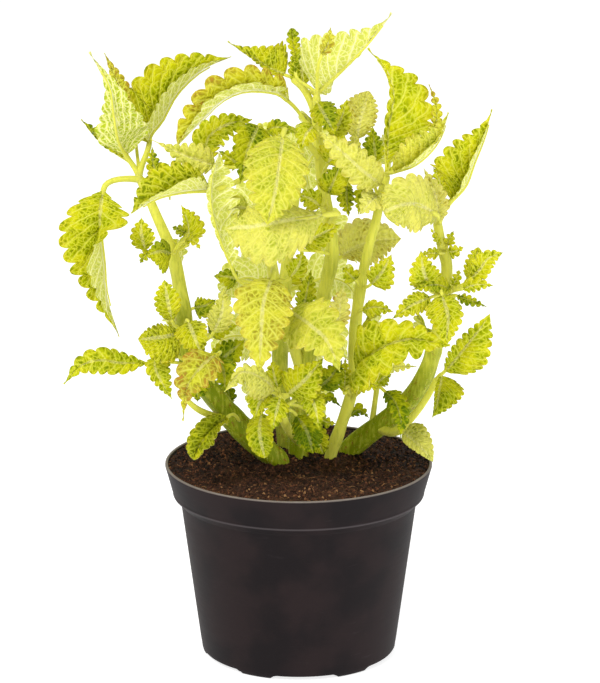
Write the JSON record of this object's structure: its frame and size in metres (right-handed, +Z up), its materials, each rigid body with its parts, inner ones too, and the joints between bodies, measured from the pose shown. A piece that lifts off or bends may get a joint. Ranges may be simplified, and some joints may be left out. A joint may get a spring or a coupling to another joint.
{
  "type": "potted coleus",
  "caption": "Leafy coleus plant with lime-green toothed leaves on upright branching stems, growing from soil in a round collared plastic nursery pot.",
  "frame": {"origin": "middle of the pot's underside, on the surface it stands on", "axes": "+Z up along the pot's axis; -Y towards the front of the plant; +X to the right seen from the front"},
  "size_m": [0.2121, 0.1524, 0.3137],
  "materials": {
    "pot_plastic": "near-black thin moulded plastic with a satin surface",
    "potting_soil": "dark brown moist peat soil with tan fibres",
    "foliage": "lime-yellow veined leaves mottled with darker green, pale undersides, soft sheen"
  },
  "bodies": {
    "root": {"pot": "pot_plastic", "soil": "potting_soil", "stem_left": "foliage", "stem_centre": "foliage", "stem_mid_right": "foliage", "stem_right": "foliage", "stem_back": "foliage"}
  },
  "joints": []
}
